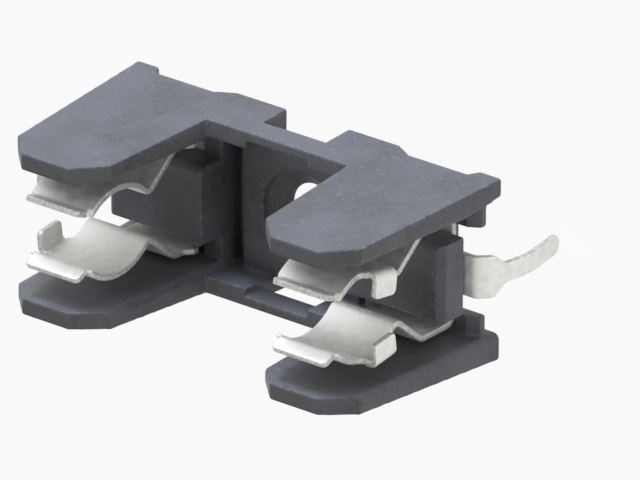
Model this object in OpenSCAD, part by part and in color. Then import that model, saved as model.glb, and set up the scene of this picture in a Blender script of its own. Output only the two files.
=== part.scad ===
// Open fuse holder for a printed circuit board: a moulded housing with two pairs of arms,
// and two bent spring clips that slide in from the ends and carry a 5 x 20 mm cartridge fuse.
// X runs along the fuse, Z points from the board to the open side, and Z = 0 is the board.

/* [Housing] */
// Length of the housing at the board
body_l = 24.5; // [23.8:0.1:25]
// Width of the housing at the board
body_w = 10.4; // [10:0.1:12]
// Height of the arm tips above the board
body_h = 12.45; // [12.3:0.05:14]
// Width across the outer faces of the arm tips
tip_w = 9.3; // [8.9:0.1:9.9]
// Clear width between the two arms of one end
arm_gap = 7.3; // [6.9:0.1:7.6]
// Clear length between the arms of the two ends, measured at the rails
bay_l = 9.4; // [8.6:0.1:9.8]
// Lean of the arms' end edges, in degrees
edge_draft = 3.8; // [0:0.1:5]
// Bevel on the corners of the arm tips
corner_cut = 1.6; // [0.6:0.1:2]
// Length of the bevel that leads from the rails to the arms' inner faces
bay_bevel = 0.35; // [0.2:0.05:0.6]
// Radius of the walls' inner edges at the ends of the housing
end_r = 0.4; // [0.2:0.05:0.45]
// Width of the bevel on the wall at +Y, where a terminal leaves between the arms
lead_in_w = 0.5; // [0.2:0.05:0.8]
// Height of that bevel
lead_in_h = 3; // [1:0.1:4]

/* [Rails] */
// Height of the rails' open edge above the board
rail_h = 3.55; // [3:0.05:5]
// Wall of the rails beside the bay
rail_wall = 1.05; // [0.8:0.05:1.2]
// Wall of the slim bridge at mid length
bridge_wall = 0.6; // [0.4:0.05:0.7]
// Length of the bridge
bridge_l = 4.1; // [3:0.1:5]
// Height of the notch under the bridge
bridge_lift = 2; // [1.8:0.05:2.4]

/* [Feet and floor] */
// Height of the feet under the floor
foot_h = 0.6; // [0.4:0.05:0.9]
// Length of each foot beside the bridge
inner_foot_l = 3.4; // [2.5:0.1:4]
// Length of each foot at the ends
outer_foot_l = 1.45; // [1.2:0.05:2.4]
// Length of the slope that ends an inner foot
foot_slope_l = 1.1; // [0.4:0.1:1.4]
// Length of the slope that ends an outer foot
end_slope_l = 0.35; // [0.1:0.05:0.6]
// Thickness of the floor
floor_t = 0.85; // [0.6:0.05:1.1]
// Gap between the floor's edge and the inner face of the bridge
web_gap = 0.1; // [0.05:0.05:0.3]
// Distance of the ledges' ends from the ends of the housing
ledge_inset = 0.5; // [0.3:0.1:0.8]
// Length of the slope on the ledges' ends
ledge_slope_l = 0.7; // [0.3:0.05:1]
// Drop of the slope on the ledges' ends
ledge_slope_h = 0.4; // [0.1:0.05:0.5]
// Width of the cut in the floor behind each terminal
exit_w = 5; // [3.4:0.1:5.4]
// Width of the groove beside each stop wall
groove_w = 0.85; // [0.5:0.05:1.1]
// Wall left under that groove, at the board
groove_web = 0.4; // [0.3:0.05:0.5]
// Wall of the cross rib under the floor, before and behind the groove
rib_wall = 0.45; // [0.3:0.05:0.6]

/* [Screw hole] */
// Diameter of the hole for the fixing screw
screw_d = 3; // [2.6:0.1:3.4]
// Diameter of the recess for the countersunk screw head
head_d = 5.1; // [4.6:0.1:5.6]
// Depth of the straight wall at the recess's rim
head_wall = 0.35; // [0.2:0.05:0.45]
// Straight length of the hole under the countersink
screw_land = 0.3; // [0.2:0.05:0.4]
// Wall of the boss round the recess
boss_wall = 0.6; // [0.4:0.05:0.8]

/* [Clip carriers] */
// Distance of the stop walls from the ends of the bay
stop_inset = 0.1; // [0:0.05:0.4]
// Thickness of the stop walls that the clips slide up to
stop_t = 1.3; // [1:0.1:1.5]
// Height of the stop walls above the floor
stop_rise = 0.65; // [0.5:0.05:1]
// Length of the nose that holds each clip down
nose_l = 6.5; // [6:0.1:6.8]
// Height of the nose's open face above the floor
nose_rise = 2.4; // [1.6:0.1:2.8]
// Gap between the nose and the straight runs of the clip
nose_gap = 0.65; // [0.4:0.05:0.9]
// Bevel on the nose's outer edge
nose_cut = 0.4; // [0.1:0.05:0.6]
// Radius of the nose's long edges
nose_edge_r = 0.4; // [0.2:0.05:0.6]

/* [Clips] */
// Thickness of the sheet metal
sheet = 0.35; // [0.25:0.05:0.4]
// Length of a clip along the fuse
clip_l = 4.2; // [4:0.1:4.4]
// Sliding clearance of the clips in the housing
slide_gap = 0.1; // [0.05:0.01:0.2]
// Gap between a clip's straight run and the arm beside it
run_gap = 0.4; // [0.2:0.05:0.6]
// Height of the bend at the top of the straight runs, above the floor
run_h = 2.8; // [2.5:0.1:3]
// Height of the fuse's axis above the board
fuse_h = 8.95; // [8.8:0.05:9.3]
// Widest gap between the two leaves, where the fuse sits
seat_gap = 4.6; // [4.3:0.1:5]
// Inner radius of the seat
seat_r = 3.1; // [2.8:0.1:3.4]
// Reach of the seat towards the board, in degrees
seat_low = 42; // [38:1:44]
// Reach of the seat towards the mouth, in degrees
seat_high = 35; // [30:1:38]
// Length of the flared lip at the mouth
lip_l = 0.9; // [0.7:0.05:1]
// Flare of the lip, in degrees
lip_flare = 22; // [15:1:40]
// Setback of the lip's ends from the clip's ends
lip_inset = 0.3; // [0.1:0.05:0.5]
// Radius of the lip's free corners
lip_corner_r = 0.3; // [0.15:0.05:0.4]
// Width of the end stop at each leaf's outer end
tab_w = 1.75; // [1.4:0.05:2.1]
// Height of the end stop above the seat
tab_h = 1.1; // [0.8:0.05:1.3]
// Distance of the end stop from the clip's end
tab_reach = 0.85; // [0.75:0.05:0.95]
// Radius of the fillets where the end stop leaves the leaf
root_r = 0.4; // [0.2:0.05:0.4]
// Reach of the lugs that point over the stop wall
lug_l = 0.4; // [0.2:0.05:0.5]
// Height of the lugs where they leave the straight runs
lug_h = 0.9; // [0.6:0.05:1.2]

/* [Terminals] */
// Distance between the two pins at the board
pin_pitch = 25.4; // [25:0.1:26.4]
// Length of the pins under the board face
pin_l = 4.6; // [3.5:0.1:5]
// Width of the pins
pin_w = 1.1; // [0.8:0.1:1.4]
// Width of the strap between base and pin
strap_w = 2.4; // [2:0.1:3]
// Bow of the pin away from the housing, between the board and its tip
pin_bow = 0.35; // [0:0.05:0.4]

/* [Hidden] */
$fn = 64;
e = 0.05;
arc_step = 5;

// Housing, worked out
end_x = body_l / 2;
bay_x = bay_l / 2;
floor_top = foot_h + floor_t;
bridge_x = bridge_l / 2;
inner_foot_x = bridge_x + inner_foot_l;
outer_foot_x = end_x - outer_foot_l;
cut_z = body_h - corner_cut;
tip_out_x = end_x - cut_z * tan(edge_draft);
tip_in_x = bay_x + (cut_z - rail_h) * tan(edge_draft);
ledge_x = end_x - ledge_inset;
boss_r = head_d / 2 + boss_wall;
sink_z = floor_top - head_wall;

// Half width of the housing's outer faces at height z
function outer_y(z) = (body_w - (body_w - tip_w) * z / body_h) / 2;
rail_y = outer_y(rail_h) - rail_wall;
bridge_y = outer_y(rail_h) - bridge_wall;
web_y = bridge_y - web_gap;

// Clip and carrier, worked out
stop_x = bay_x + stop_inset;
nose_x = stop_x + nose_l;
nose_z = floor_top + sheet + slide_gap;
clip_x = stop_x + stop_t + slide_gap;
clip_end_x = clip_x + clip_l;
exit_x = clip_end_x - sheet - slide_gap;
run_y = arm_gap / 2 - run_gap - sheet / 2;
nose_y = run_y - sheet / 2 - nose_gap;
base_z = floor_top + sheet / 2;
run_z = floor_top + run_h;

// Seat of the leaf: a circle about this centre, on the sheet's middle line
seat_mid_r = seat_r + sheet / 2;
seat_y = seat_gap / 2 - seat_r;
// Straight stretches between the seat and the bends on either side of it
crest_run = 0.5;
neck_run = 0.45;
base_bend_r = 0.5;
run_bend_r = 0.6;
crest_bend_r = 0.45;
neck_bend_r = 0.3;
tab_bend_r = 0.35;
tab_corner_r = 0.3;
tab_tilt = -8;

// A direction in a plane, by its angle
function dir(a) = [cos(a), sin(a)];
function left_of(v) = [-v[1], v[0]];
function unit(v) = v / norm(v);
function turn(a, b) = atan2(a[0] * b[1] - a[1] * b[0], a * b);
function reversed(p) = [for (i = [len(p) - 1:-1:0]) p[i]];

// Points round one bend of a strip, on the side at distance o to the left of its middle line
function bend(before, corner, after, r, o) =
    let (d0 = unit(corner - before))
    let (d1 = unit(after - corner))
    let (a = turn(d0, d1))
    let (side = sign(a))
    let (start = atan2(-side * left_of(d0)[1], -side * left_of(d0)[0]))
    let (centre = corner - d0 * r * tan(abs(a) / 2) + left_of(d0) * side * r)
    let (steps = max(2, ceil(abs(a) / arc_step)))
    [for (k = [0:steps]) centre + dir(start + a * k / steps) * (r - side * o)];

// One side of a strip through corners p, with bend radii r at all but its ends
function strip_side(p, r, o) = concat(
    [p[0] + left_of(unit(p[1] - p[0])) * o],
    [for (i = [1:len(p) - 2]) each bend(p[i - 1], p[i], p[i + 1], r[i - 1], o)],
    [p[len(p) - 1] + left_of(unit(p[len(p) - 1] - p[len(p) - 2])) * o]);

// Section of a bent sheet
module strip(p, r) {
    polygon(concat(strip_side(p, r, sheet / 2), reversed(strip_side(p, r, -sheet / 2))));
}

// Corner of the strip where the two tangents of the seat meet
function seat_corner() =
    let (half = (seat_low + seat_high) / 2)
    let (middle = (seat_high - seat_low) / 2)
    [seat_y, fuse_h] + dir(middle) * seat_mid_r / cos(half);
crest = [seat_y, fuse_h] + dir(-seat_low) * seat_mid_r - left_of(dir(-seat_low)) * crest_run;
neck = [seat_y, fuse_h] + dir(seat_high) * seat_mid_r + left_of(dir(seat_high)) * neck_run;
lip = neck + dir(90 - lip_flare) * lip_l;
leaf_corners = [[run_y, base_z], [run_y, run_z], crest, seat_corner(), neck, lip];
leaf_radii = [base_bend_r, run_bend_r, crest_bend_r, seat_mid_r, neck_bend_r];
function mirrored(p) = [for (q = p) [-q[0], q[1]]];
clip_corners = concat(mirrored(reversed(leaf_corners)), leaf_corners);
clip_radii = concat(reversed(leaf_radii), leaf_radii);

// Terminal: flat strap, slope down, and bowed pin
pin_x = pin_pitch / 2;
strap_setback = 0.85;
pin_setback = 0.3;
strap_slope_x = pin_x - strap_setback;
strap_end_x = pin_x - pin_setback;
strap_end_z = base_z - strap_end_x + strap_slope_x;
pin_mid_z = -pin_l / 3;
terminal_corners = [
    [clip_end_x - strap_setback, base_z],
    [strap_slope_x, base_z],
    [strap_end_x, strap_end_z],
    [pin_x + pin_bow / 2, pin_mid_z],
    [pin_x - pin_bow, -pin_l]
];
strap_bend_r = 0.5;
pin_bend_r = 0.7;
bow_r = 5;
terminal_radii = [strap_bend_r, pin_bend_r, bow_r];
shoulder_h = 1.1;

// Extrudes a section in Y and Z along X, from x0 to x1
module along_x(x0, x1) {
    translate([x0, 0, 0])
        rotate([90, 0, 90])
            linear_extrude(x1 - x0)
                children();
}

// Extrudes an outline in X and Z along Y, over width w about the middle
module along_y(w) {
    rotate([90, 0, 0])
        linear_extrude(w, center = true)
            children();
}

// A box between two corners
module span(low, high) {
    translate(low)
        cube(high - low);
}

// Draws the same thing at both ends of the housing
module both_ends() {
    children();
    mirror([1, 0, 0])
        children();
}

// Side view of one wall: feet, bridge, rail and the arms of both ends
module wall_outline() {
    half = [
        [bridge_x, bridge_lift],
        [bridge_x, 0],
        [inner_foot_x, 0],
        [inner_foot_x + foot_slope_l, foot_h],
        [outer_foot_x - end_slope_l, foot_h],
        [outer_foot_x, 0],
        [end_x, 0],
        [tip_out_x, cut_z],
        [tip_out_x - corner_cut, body_h],
        [tip_in_x + corner_cut, body_h],
        [tip_in_x, cut_z],
        [bay_x, rail_h]
    ];
    polygon(concat(half, mirrored(reversed(half))));
}

// Section of the two walls, thicker at the board than at the tips
module wall_section() {
    half = [
        [arm_gap / 2, 0],
        [body_w / 2, 0],
        [tip_w / 2, body_h],
        [arm_gap / 2, body_h]
    ];
    polygon(half);
    polygon(mirrored(half));
}

// Both walls with the bay cut out between their rails
module wall_blanks() {
    difference() {
        intersection() {
            along_y(body_w)
                wall_outline();
            along_x(-end_x, end_x)
                wall_section();
        }
        span([-bay_x, -rail_y, floor_top], [bay_x, rail_y, body_h]);
        span([-bridge_x, -bridge_y, floor_top], [bridge_x, bridge_y, body_h]);
    }
}

// Walls with the bevels and rounds on the arms' inner edges
module walls() {
    difference() {
        wall_blanks();
        both_ends() {
            along_x(ledge_x, end_x + e)
                lead_in();
            bay_bevels();
            end_rounds();
        }
    }
}

// Bevels along the arms' inner edges beside the bay, leaning with the edges
module bay_bevels() {
    drop = rail_h - floor_top - stop_rise;
    half = [
        [-e, rail_y],
        [0, rail_y],
        [bay_bevel, arm_gap / 2],
        [bay_bevel, 0],
        [-e, 0]
    ];
    for (s = [0, 1])
        mirror([0, s, 0])
            translate([bay_x, 0, rail_h])
                rotate([0, edge_draft, 0])
                    translate([0, 0, -drop])
                        linear_extrude(drop + body_h)
                            polygon(half);
}

// Rounds on the walls' inner edges at the ends, leaning with the edges
module end_rounds() {
    arc = [for (a = [0:10:90]) [-end_r, end_r] + dir(-a) * end_r];
    for (s = [0, 1])
        mirror([0, s, 0])
            translate([end_x, arm_gap / 2, 0])
                rotate([0, -edge_draft, 0])
                    translate([0, 0, -e])
                        linear_extrude(body_h)
                            polygon(concat([[e, -e], [e, end_r]], arc, [[-end_r, -e]]));
}

// Bevel on a wall's inner edge at the board
module lead_in() {
    polygon([
        [0, -e],
        [arm_gap / 2 + lead_in_w, -e],
        [arm_gap / 2 + lead_in_w, 0],
        [arm_gap / 2, lead_in_h],
        [0, lead_in_h]
    ]);
}

// Floor with the ledges that carry the clips, their run-in slopes and the terminals' exits
module floor_plate() {
    slope = [
        [ledge_x - ledge_slope_l, floor_top],
        [ledge_x, floor_top - ledge_slope_h],
        [ledge_x + e, floor_top - ledge_slope_h],
        [ledge_x + e, floor_top + e],
        [ledge_x - ledge_slope_l, floor_top + e]
    ];
    difference() {
        span([-ledge_x, -web_y, foot_h], [ledge_x, web_y, floor_top]);
        both_ends() {
            along_y(body_w)
                polygon(slope);
            span([exit_x, -exit_w / 2, foot_h - e], [ledge_x + e, exit_w / 2, floor_top + e]);
        }
    }
}

// Rib across the underside of the floor that closes the groove beside a stop wall
module cross_rib() {
    span([stop_x - groove_w - rib_wall, -web_y, 0], [stop_x + rib_wall, web_y, foot_h + e]);
}

// Hole with a countersink for the screw head
module screw_cut() {
    translate([0, 0, -e])
        cylinder(d = screw_d, h = floor_top);
    translate([0, 0, screw_land])
        cylinder(d1 = screw_d, d2 = head_d, h = sink_z - screw_land);
    translate([0, 0, sink_z])
        cylinder(d = head_d, h = floor_top);
}

// Stop wall across the housing, with the nose that overhangs the clip's base
module carrier() {
    nose_top = floor_top + nose_rise;
    across = arm_gap / 2 + e;
    side = [
        [stop_x, floor_top - e],
        [stop_x + stop_t, floor_top - e],
        [stop_x + stop_t, nose_z],
        [nose_x, nose_z],
        [nose_x, nose_top - nose_cut],
        [nose_x - nose_cut, nose_top],
        [stop_x, nose_top]
    ];
    span([stop_x, -across, floor_top - e], [stop_x + stop_t, across, floor_top + stop_rise]);
    intersection() {
        along_y(2 * nose_y)
            polygon(side);
        along_x(stop_x, nose_x)
            nose_section(nose_top);
    }
}

// Section of the nose, with its two long edges rounded
module nose_section(top) {
    flat_y = nose_y - nose_edge_r;
    translate([-nose_y, 0])
        square([2 * nose_y, top - nose_edge_r]);
    translate([-flat_y, 0])
        square([2 * flat_y, top]);
    for (s = [-1, 1])
        translate([s * flat_y, top - nose_edge_r])
            circle(nose_edge_r);
}

module housing() {
    color("#3b3b40")
        difference() {
            union() {
                walls();
                floor_plate();
                both_ends() {
                    carrier();
                    cross_rib();
                }
                cylinder(r = boss_r, h = floor_top);
            }
            both_ends()
                span([stop_x - groove_w, -rail_y, groove_web], [stop_x, rail_y, rail_h]);
            screw_cut();
        }
}

// Base and both leaves, with the lips set back and the roots of the end stops
module leaves() {
    difference() {
        along_x(clip_x, clip_end_x + root_r)
            strip(clip_corners, clip_radii);
        for (s = [-1, 1])
            lip_frame(s)
                rotate([90, 0, 0])
                    linear_extrude(2 * neck_bend_r + 2 * sheet, center = true)
                        lip_waste();
        root_waste();
    }
}

// What is cut from the strip past the clip's end, to leave the roots of the end stops
module root_waste() {
    difference() {
        span([clip_end_x, -body_w, 0], [clip_end_x + root_r + e, body_w, 2 * body_h]);
        for (s = [-1, 1])
            end_stop_frame(s)
                translate([0, seat_mid_r - 2 * sheet, 0])
                    rotate([-90, 0, 0])
                        linear_extrude(4 * sheet)
                            root_outline();
    }
}

// Root of an end stop in the flat sheet, with a fillet on both sides
module root_outline() {
    centre = [clip_end_x + root_r, tab_w / 2 + root_r];
    fillet = [for (a = [180:10:270]) centre + dir(a) * root_r];
    half = concat([[clip_end_x - e, centre[1]]], fillet, [[clip_end_x + root_r + 2 * e, tab_w / 2]]);
    polygon(concat(half, [for (q = reversed(half)) [q[0], -q[1]]]));
}

// Lug on a straight run's inner end
module lug() {
    top_z = run_z - run_bend_r;
    low_z = top_z - lug_h;
    tip_x = clip_x - lug_l;
    side = [
        [clip_x + sheet, low_z],
        [clip_x + sheet, top_z],
        [clip_x, top_z],
        [tip_x, (top_z + low_z) / 2],
        [tip_x, low_z]
    ];
    translate([0, run_y, 0])
        along_y(sheet)
            polygon(side);
}

// Draws a thing on the leaf at +Y, or mirrored on the leaf at -Y
module on_leaf(s) {
    mirror([0, s > 0 ? 0 : 1, 0])
        children();
}

// Frame of a lip: Z points out of its free edge, Y through the sheet
module lip_frame(s) {
    on_leaf(s)
        translate([0, lip[0], lip[1]])
            rotate([-lip_flare, 0, 0])
                children();
}

// What is cut from the strip to leave the lip with its rounded corners
module lip_waste() {
    x0 = clip_x + lip_inset;
    x1 = clip_end_x - lip_inset;
    r = lip_corner_r;
    difference() {
        translate([clip_x - e, -lip_l])
            square([clip_l + 2 * e, lip_l + e]);
        translate([x0, -2 * lip_l])
            square([x1 - x0, 2 * lip_l - r]);
        translate([x0 + r, -lip_l])
            square([x1 - x0 - 2 * r, lip_l + 2 * e]);
        for (x = [x0 + r, x1 - r])
            translate([x, -r])
                circle(r);
    }
}

// Frame of an end stop: Y points out of the seat at the stop's middle
module end_stop_frame(s) {
    on_leaf(s)
        translate([0, seat_y, fuse_h])
            rotate([tab_tilt, 0, 0])
                children();
}

// End stop bent up from a leaf's outer end
module end_stop() {
    root_x = clip_end_x + root_r - sheet / 2;
    tab_x = clip_end_x + tab_reach;
    tip_y = seat_mid_r - sheet / 2 - tab_h;
    intersection() {
        linear_extrude(tab_w, center = true)
            strip([[root_x, seat_mid_r], [tab_x, seat_mid_r], [tab_x, tip_y]], [tab_bend_r]);
        along_x(clip_x, clip_end_x + 2 * tab_reach)
            tab_face(tip_y);
    }
}

// Face of the end stop, with its free corners rounded
module tab_face(tip_y) {
    flat_z = tab_w / 2 - tab_corner_r;
    translate([tip_y + tab_corner_r, -tab_w / 2])
        square([2 * seat_mid_r, tab_w]);
    translate([tip_y, -flat_z])
        square([2 * seat_mid_r, 2 * flat_z]);
    for (s = [-1, 1])
        translate([tip_y + tab_corner_r, s * flat_z])
            circle(tab_corner_r);
}

// Strap and pin, cut to their outline as seen along the fuse
module terminal() {
    intersection() {
        along_y(strap_w)
            strip(terminal_corners, terminal_radii);
        along_x(0, body_l)
            terminal_outline();
    }
}

// Wide strap, rounded shoulders and a pin with a round tip
module terminal_outline() {
    half_w = function (k) pin_w / 2 + (strap_w - pin_w) / 2 * (1 + cos(180 * k)) / 2;
    shoulder = [for (k = [0:0.125:1]) [half_w(k), shoulder_h * (1 - k)]];
    tip = [for (a = [0:15:90]) [cos(a) * pin_w / 2, -pin_l + (1 - sin(a)) * pin_w / 2 - e]];
    half = concat([[strap_w / 2, 2 * floor_top]], shoulder, tip);
    polygon(concat(half, mirrored(reversed(half))));
}

module clip() {
    color("#d0cec6") {
        leaves();
        for (s = [-1, 1]) {
            end_stop_frame(s)
                end_stop();
            on_leaf(s)
                lug();
        }
        terminal();
    }
}

module left_clip() {
    rotate([0, 0, 180])
        clip();
}

module right_clip() {
    clip();
}

housing();
left_clip();
right_clip();
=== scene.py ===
import math

import bpy
import numpy as np
import openvdb
from mathutils import Matrix, Vector
from mathutils.bvhtree import BVHTree


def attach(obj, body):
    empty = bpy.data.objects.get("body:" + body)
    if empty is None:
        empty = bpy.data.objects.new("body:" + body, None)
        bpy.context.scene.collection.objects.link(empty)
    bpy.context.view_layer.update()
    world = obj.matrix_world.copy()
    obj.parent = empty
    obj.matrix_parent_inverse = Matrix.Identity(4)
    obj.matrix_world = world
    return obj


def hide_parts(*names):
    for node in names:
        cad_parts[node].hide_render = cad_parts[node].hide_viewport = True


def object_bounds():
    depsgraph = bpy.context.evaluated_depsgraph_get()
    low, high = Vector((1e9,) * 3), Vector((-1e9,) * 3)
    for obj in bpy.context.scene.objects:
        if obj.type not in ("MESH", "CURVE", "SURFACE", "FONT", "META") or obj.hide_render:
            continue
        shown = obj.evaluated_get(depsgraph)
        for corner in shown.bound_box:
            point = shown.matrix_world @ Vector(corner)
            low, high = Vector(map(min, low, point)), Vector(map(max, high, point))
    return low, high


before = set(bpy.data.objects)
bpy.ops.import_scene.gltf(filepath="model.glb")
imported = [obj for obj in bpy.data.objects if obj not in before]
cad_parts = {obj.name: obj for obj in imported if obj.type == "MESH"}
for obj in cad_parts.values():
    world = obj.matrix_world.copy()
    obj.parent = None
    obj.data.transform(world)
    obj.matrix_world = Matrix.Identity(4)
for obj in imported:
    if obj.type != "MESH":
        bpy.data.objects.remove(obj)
cad_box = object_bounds()
scene = bpy.context.scene
scene.view_settings.view_transform = "Standard"

MM = 0.001  # metres in a millimetre: skins are worked out in mm, Blender's objects are in metres

# How a solid is softened: voxel size, radius of outer edges and radius of inner corners in mm,
# and how freely its mesh is thinned where it is flat.
HOUSING_SOFT = {"voxel": 0.05, "edge_r": 0.12, "corner_r": 0.06, "thinning": 0.035}
CLIP_SOFT = {"voxel": 0.035, "edge_r": 0.055, "corner_r": 0.03, "thinning": 0.02}
RUBBED_DEPTH = 0.045  # mm that rounding takes off an edge where it counts as fully rubbed
SHEET = 0.35  # mm, thickness of the clips' spring sheet
HALF_TURN = np.array([-1.0, -1.0, 1.0])  # about Z, from the right clip to the left one


# ---------------------------------------------------------------- softened copies of the solids
SAME_POINT = 4  # decimals of a mm to which corners agree when they are one point
SPARE_VOXELS = 3  # kept beyond the reach of a distance field
RIM_VOXELS = 2  # read beyond a distance field's active box
SLOPE_STEP = 0.75  # voxels to either side when the slope of a field is read
RAY_START = 0.01  # mm under a face where the ray through the sheet starts
CUT_WAY = 1.5  # sheet thicknesses: a longer way through the metal starts at a cut edge
NO_AREA = 1e-12  # keeps a face without area from dividing by zero


def solid_of(node):
    """Points in mm and triangles of a CAD node, with doubled points merged."""
    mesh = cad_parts[node].data
    mesh.calc_loop_triangles()
    points = np.empty(len(mesh.vertices) * 3, np.float32)
    mesh.vertices.foreach_get("co", points)
    tris = np.empty(len(mesh.loop_triangles) * 3, np.int32)
    mesh.loop_triangles.foreach_get("vertices", tris)
    points = points.reshape(-1, 3).astype(np.float64) / MM
    points, index = np.unique(points.round(SAME_POINT), axis=0, return_inverse=True)
    return points, index.reshape(-1)[tris].reshape(-1, 3)


def distance_field(points, tris, quads, voxel, reach):
    """Signed distance to a closed mesh, kept for reach mm on both sides of its skin."""
    return openvdb.FloatGrid.createLevelSetFromPolygons(
        points.astype(np.float32),
        triangles=np.asarray(tris, np.uint32).reshape(-1, 3),
        quads=np.asarray(quads, np.uint32).reshape(-1, 4),
        transform=openvdb.createLinearTransform(voxel),
        halfWidth=reach / voxel + SPARE_VOXELS,
    )


def sampler(grid, voxel):
    """A function that reads the grid at any points, between its voxels too."""
    low, high = (np.array(corner) for corner in grid.evalActiveVoxelBoundingBox())
    low, high = low - RIM_VOXELS, high + RIM_VOXELS
    values = np.empty(high - low + 1, np.float32)
    grid.copyToArray(values, ijk=tuple(int(i) for i in low))
    last_cell = np.array(values.shape) - 2

    def read(points):
        at = np.clip(points / voxel - low, 0, last_cell)
        cell = at.astype(int)
        part = at - cell
        total = np.zeros(len(points))
        for corner in np.ndindex(2, 2, 2):
            share = np.prod(np.where(corner, part, 1 - part), axis=1)
            total += share * values[tuple((cell + corner).T)]
        return total

    return read


def softened(node, voxel, edge_r, corner_r, thinning):
    """The node's skin with outer edges rounded to edge_r and inner corners filled to corner_r.

    Gives points in mm, triangles, quads, normals, and each point's distance from the solid's
    own skin, which is below zero inside the solid.
    """
    points, tris = solid_of(node)
    field = distance_field(points, tris, [], voxel, edge_r)
    solid = sampler(field, voxel)
    core, quads = field.convertToQuads(isovalue=-edge_r)
    field = distance_field(core, [], quads, voxel, edge_r + corner_r)
    shell, quads = field.convertToQuads(isovalue=edge_r + corner_r)
    field = distance_field(shell, [], quads, voxel, corner_r)
    skin, tris, quads = field.convertToPolygons(isovalue=-corner_r, adaptivity=thinning)
    skin = skin.astype(np.float64)
    read = sampler(field, voxel)
    step = np.eye(3) * voxel * SLOPE_STEP
    normals = np.stack([read(skin + s) - read(skin - s) for s in step], axis=1)
    normals /= np.linalg.norm(normals, axis=1, keepdims=True)
    return skin, tris, quads, normals, solid(skin)


def piece(name, skin, tris, quads, normals, fields):
    """A mesh object from a softened skin, with its own smooth normals and its point fields."""
    faces = [tuple(int(i) for i in reversed(f)) for some in (tris, quads) for f in some]
    mesh = bpy.data.meshes.new(name)
    mesh.from_pydata((skin * MM).tolist(), [], faces)
    mesh.update()
    for field, values in fields.items():
        layer = mesh.attributes.new(field, "FLOAT", "POINT")
        layer.data.foreach_set("value", np.asarray(values, np.float32))
    mesh.shade_smooth()
    mesh.normals_split_custom_set_from_vertices(normals.tolist())
    obj = bpy.data.objects.new(name, mesh)
    scene.collection.objects.link(obj)
    return obj


def sheared_share(node, skin, sheet):
    """1 where a point of the skin lies on a cut edge of the sheet, 0 on its rolled faces."""
    points, tris = solid_of(node)
    tree = BVHTree.FromPolygons(points.tolist(), tris.tolist())
    a, b, c = (points[tris[:, i]] for i in range(3))
    out = np.cross(b - a, c - a)
    out /= np.linalg.norm(out, axis=1, keepdims=True) + NO_AREA
    mid = (a + b + c) / 3
    cut = np.zeros(len(tris))
    for i in range(len(tris)):
        *_, way = tree.ray_cast(Vector(mid[i] - out[i] * RAY_START), Vector(-out[i]))
        cut[i] = way is None or way > sheet * CUT_WAY
    nearest = [tree.find_nearest(Vector(p))[2] for p in skin]
    return cut[nearest]


# ---------------------------------------------------------------- materials
# Colours are linear. Noise scales are per metre, so 1000 is about 1 mm.
PLASTIC_DARK = (0.138, 0.138, 0.147)
PLASTIC_PALE = (0.188, 0.191, 0.210)
PLASTIC_CLOUD = (0.210, 0.219, 0.248)
PLASTIC_PIT = (0.105, 0.105, 0.112)
PLASTIC_RUBBED = (0.47, 0.475, 0.49)
PLASTIC_IOR = 1.5
PLASTIC_SPECULAR = 0.3
SCUFF_STRETCH = (0.3, 1.0, 0.6)  # below 1 draws the scuffs out along that axis
SPECK_SCALE = 1300

TIN_DULL = (0.695, 0.686, 0.662)
TIN_BRIGHT = (0.785, 0.776, 0.750)
CUT_DULL = (0.42, 0.414, 0.402)
CUT_BRIGHT = (0.68, 0.67, 0.65)
CUT_ROUGHNESS = (0.64, 0.64, 0.64)
ROLLED_STRETCH = (0.12, 1.0, 1.0)

MIX_FACTOR, MIX_A, MIX_B, MIX_RESULT = 0, 6, 7, 2  # a colour mix's sockets


class Nodes:
    """Short names for making a node material."""

    def __init__(self, name):
        self.mat = bpy.data.materials.new(name)
        self.mat.use_nodes = True
        self.tree = self.mat.node_tree
        self.shader = self.tree.nodes["Principled BSDF"]
        self.where = self.add("ShaderNodeTexCoord").outputs["Object"]

    def put(self, node, key, value):
        """Link a node's input to another node's output, or set it to a plain value."""
        if isinstance(value, bpy.types.NodeSocket):
            self.tree.links.new(value, node.inputs[key])
        else:
            node.inputs[key].default_value = value

    def add(self, kind, **inputs):
        node = self.tree.nodes.new(kind)
        for key, value in inputs.items():
            self.put(node, key, value)
        return node

    def stretched(self, scale):
        node = self.add("ShaderNodeMapping", Vector=self.where, Scale=scale)
        return node.outputs["Vector"]

    def noise(self, scale, detail, rough, where=None):
        node = self.add("ShaderNodeTexNoise", Scale=scale, Detail=detail, Roughness=rough)
        self.put(node, "Vector", where or self.where)
        return node.outputs["Fac"]

    def ramp(self, value, *stops):
        """From one stop to the other; a stop is a position and a colour or a number."""
        node = self.add("ShaderNodeValToRGB", Fac=value)
        for spot, (at, colour) in zip(node.color_ramp.elements, stops):
            spot.position = at
            spot.color = (*colour, 1) if isinstance(colour, tuple) else (colour,) * 3 + (1,)
        return node.outputs["Color"]

    def math(self, how, a, b):
        node = self.add("ShaderNodeMath")
        node.operation = how
        self.put(node, 0, a)
        self.put(node, 1, b)
        return node.outputs["Value"]

    def mix(self, share, a, b):
        node = self.add("ShaderNodeMix")
        node.data_type = "RGBA"
        self.put(node, MIX_FACTOR, share)
        for key, colour in ((MIX_A, a), (MIX_B, b)):
            self.put(node, key, (*colour, 1) if isinstance(colour, tuple) else colour)
        return node.outputs[MIX_RESULT]

    def field(self, name):
        node = self.add("ShaderNodeAttribute")
        node.attribute_name = name
        return node.outputs["Fac"]

    def bump(self, height, strength, distance, under=None):
        node = self.add("ShaderNodeBump", Height=height, Strength=strength, Distance=distance)
        if under:
            self.put(node, "Normal", under)
        return node.outputs["Normal"]


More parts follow.
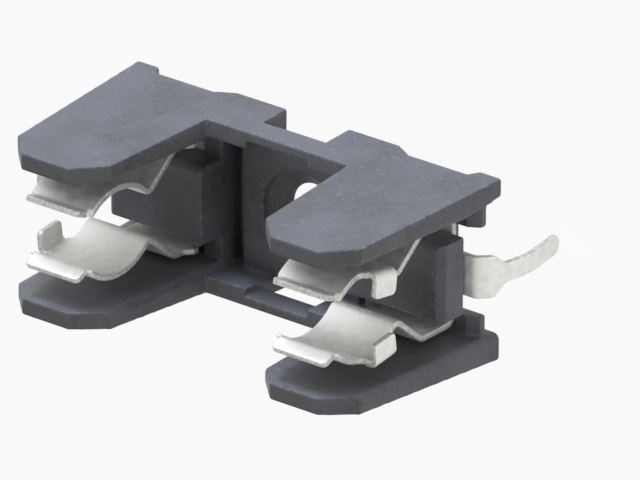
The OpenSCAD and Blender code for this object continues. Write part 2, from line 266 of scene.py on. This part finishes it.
def moulding():
    """Dark grey moulded plastic: blotches, fine grain, scuffs, pale specks and rubbed edges."""
    m = Nodes("moulded_plastic")
    cloud = m.noise(scale=260, detail=4, rough=0.6)
    blotch = m.noise(scale=2600, detail=3, rough=0.55)
    grain = m.noise(scale=9000, detail=3, rough=0.6)
    wear = m.noise(scale=2800, detail=5, rough=0.7)
    streak = m.noise(scale=5200, detail=2, rough=0.5, where=m.stretched(SCUFF_STRETCH))
    speck = m.add("ShaderNodeTexVoronoi", Vector=m.where, Scale=SPECK_SCALE)
    edge = m.field("edge")

    colour = m.ramp(blotch, (0.34, PLASTIC_DARK), (0.66, PLASTIC_PALE))
    colour = m.mix(m.ramp(cloud, (0.38, 0.0), (0.60, 0.8)), colour, PLASTIC_CLOUD)
    colour = m.mix(m.ramp(grain, (0.34, 0.42), (0.50, 0.0)), colour, PLASTIC_PIT)
    scuff = m.ramp(streak, (0.68, 0.0), (0.75, 0.32))
    rub = m.math("MULTIPLY", edge, m.ramp(wear, (0.50, 0.0), (0.64, 0.45)))
    near = m.ramp(speck.outputs["Distance"], (0.050, 1.0), (0.080, 0.0))
    few = m.ramp(speck.outputs["Color"], (0.66, 0.0), (0.68, 0.7))
    pale = m.math("MAXIMUM", m.math("MAXIMUM", rub, scuff), m.math("MULTIPLY", near, few))
    m.put(m.shader, "Base Color", m.mix(pale, colour, PLASTIC_RUBBED))
    m.put(m.shader, "Roughness", m.ramp(blotch, (0.35, 0.44), (0.65, 0.56)))
    m.put(m.shader, "IOR", PLASTIC_IOR)
    m.put(m.shader, "Specular IOR Level", PLASTIC_SPECULAR)

    wave = m.bump(cloud, strength=0.3, distance=0.04 * MM)
    coarse = m.bump(blotch, strength=0.3, distance=0.02 * MM, under=wave)
    worn = m.math("MULTIPLY", edge, wear)
    ragged = m.bump(worn, strength=0.7, distance=0.12 * MM, under=coarse)
    fine = m.bump(grain, strength=0.3, distance=0.01 * MM, under=ragged)
    m.put(m.shader, "Normal", fine)
    return m.mat


def spring_sheet():
    """Tinned spring sheet: satin rolled faces, greyer and gritty cut edges."""
    m = Nodes("tinned_sheet")
    rolled = m.noise(scale=9000, detail=3, rough=0.6, where=m.stretched(ROLLED_STRETCH))
    bloom = m.noise(scale=1900, detail=4, rough=0.55)
    grit = m.noise(scale=6500, detail=3, rough=0.6)
    cut = m.field("cut")

    face = m.ramp(bloom, (0.36, TIN_DULL), (0.64, TIN_BRIGHT))
    side = m.ramp(grit, (0.36, CUT_DULL), (0.66, CUT_BRIGHT))
    satin = m.ramp(bloom, (0.36, 0.60), (0.64, 0.70))
    m.put(m.shader, "Base Color", m.mix(cut, face, side))
    m.put(m.shader, "Metallic", 1.0)
    m.put(m.shader, "Roughness", m.mix(cut, satin, CUT_ROUGHNESS))

    smooth = m.bump(rolled, strength=0.12, distance=0.01 * MM)
    gritty = m.math("MULTIPLY", grit, cut)
    m.put(m.shader, "Normal", m.bump(gritty, strength=0.4, distance=0.01 * MM, under=smooth))
    return m.mat


# ---------------------------------------------------------------- the three pieces
plastic = moulding()
metal = spring_sheet()

skin, tris, quads, normals, depth = softened("housing", **HOUSING_SOFT)
rubbed = np.clip(-depth / RUBBED_DEPTH, 0, 1)
body = piece("moulded_body", skin, tris, quads, normals, {"edge": rubbed})
body.data.materials.append(plastic)
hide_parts("housing")
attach(body, "root")

skin, tris, quads, normals, _ = softened("right_clip", **CLIP_SOFT)
cut = sheared_share("right_clip", skin, SHEET)
for side, way in (("right", np.ones(3)), ("left", HALF_TURN)):
    clip = piece(side + "_spring_clip", skin * way, tris, quads, normals * way, {"cut": cut})
    clip.data.materials.append(metal)
    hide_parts(side + "_clip")
    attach(clip, "root")


# ---------------------------------------------------------------- floor, light, camera
FLOOR_HALF = 3.0  # m
FLOOR_COLOUR = (0.9, 0.9, 0.9, 1)
FLOOR_WHITE = 0.93  # the rest is matt floor, which keeps the part's shadow
WORLD_WHITE = 1.0
WORLD_DIM = 0.06  # light from all round
AIM = Vector((0, 0, 0.005))  # m, the point in the part that the lamps face

SENSOR_MM = 36
LENS_MM = 675.32
CLIP_NEAR, CLIP_FAR = 0.05, 20  # m
CAMERA_PLACE = (0.360054, 0.257557, 0.451975)  # m
CAMERA_RIGHT = Vector((0.780718, 0.005547, -0.624859))
CAMERA_BACK = Vector((0.568299, 0.409496, 0.713687))


def white_for_eye(tree, dim, white, share, output):
    """A share of white for camera, glossy and transmission rays; the rest of the light is dim."""
    path = tree.nodes.new("ShaderNodeLightPath")
    seen = path.outputs["Is Camera Ray"]
    for more in ("Is Glossy Ray", "Is Transmission Ray"):
        either = tree.nodes.new("ShaderNodeMath")
        either.operation = "MAXIMUM"
        tree.links.new(seen, either.inputs[0])
        tree.links.new(path.outputs[more], either.inputs[1])
        seen = either.outputs[0]
    scaled = tree.nodes.new("ShaderNodeMath")
    scaled.operation = "MULTIPLY"
    scaled.inputs[1].default_value = share
    tree.links.new(seen, scaled.inputs[0])
    mix = tree.nodes.new("ShaderNodeMixShader")
    for source, socket in zip((scaled, dim, white), mix.inputs):
        tree.links.new(source.outputs[0], socket)
    out = tree.nodes.new(output)
    tree.links.new(mix.outputs[0], out.inputs["Surface"])


floor_level = cad_box[0][2]
corners = ((-1, -1), (1, -1), (1, 1), (-1, 1))
mesh = bpy.data.meshes.new("floor")
mesh.from_pydata(
    [(x * FLOOR_HALF, y * FLOOR_HALF, floor_level) for x, y in corners], [], [(0, 1, 2, 3)]
)
floor = bpy.data.objects.new("floor", mesh)
scene.collection.objects.link(floor)
mat = bpy.data.materials.new("white_floor")
mat.use_nodes = True
mat.cycles.emission_sampling = "NONE"
tree = mat.node_tree
tree.nodes.clear()
matt = tree.nodes.new("ShaderNodeBsdfDiffuse")
matt.inputs["Color"].default_value = FLOOR_COLOUR
glow = tree.nodes.new("ShaderNodeEmission")
white_for_eye(tree, matt, glow, FLOOR_WHITE, "ShaderNodeOutputMaterial")
floor.data.materials.append(mat)

world = bpy.data.worlds.new("studio")
scene.world = world
world.use_nodes = True
world.cycles.sampling_method = "NONE"
tree = world.node_tree
tree.nodes.clear()
dim = tree.nodes.new("ShaderNodeBackground")
dim.inputs["Strength"].default_value = WORLD_DIM
white = tree.nodes.new("ShaderNodeBackground")
white_for_eye(tree, dim, white, WORLD_WHITE, "ShaderNodeOutputWorld")


def lamp(name, place, wide, tall, level, colour=(1.0, 1.0, 1.0)):
    """A soft light aimed at the part; level is the brightness of its face."""
    light = bpy.data.lights.new(name, "AREA")
    light.shape = "RECTANGLE"
    light.size = wide
    light.size_y = tall
    light.color = colour
    light.energy = level * math.pi * wide * tall
    obj = bpy.data.objects.new(name, light)
    obj.location = place
    obj.rotation_euler = (AIM - obj.location).to_track_quat("-Z", "Y").to_euler()
    scene.collection.objects.link(obj)


lamp("key", (-0.27, 0.57, 0.19), wide=0.75, tall=0.42, level=2.4, colour=(0.96, 0.985, 1.06))
lamp("strip", (-0.08, 0.63, 0.06), wide=0.14, tall=0.11, level=34.0, colour=(0.92, 0.98, 1.13))
lamp("side", (0.62, 0.10, 0.10), wide=0.24, tall=0.24, level=5.0)
lamp("front", (0.00, -0.30, 0.60), wide=0.36, tall=0.36, level=1.4, colour=(1.03, 1.00, 0.92))

camera = bpy.data.objects.new("camera", bpy.data.cameras.new("camera"))
camera.data.sensor_width = SENSOR_MM
camera.data.lens = LENS_MM
camera.data.clip_start = CLIP_NEAR
camera.data.clip_end = CLIP_FAR
camera_up = CAMERA_BACK.cross(CAMERA_RIGHT)
turned = Matrix((CAMERA_RIGHT, camera_up, CAMERA_BACK)).transposed().to_4x4()
camera.matrix_world = Matrix.Translation(CAMERA_PLACE) @ turned
scene.collection.objects.link(camera)
scene.camera = camera
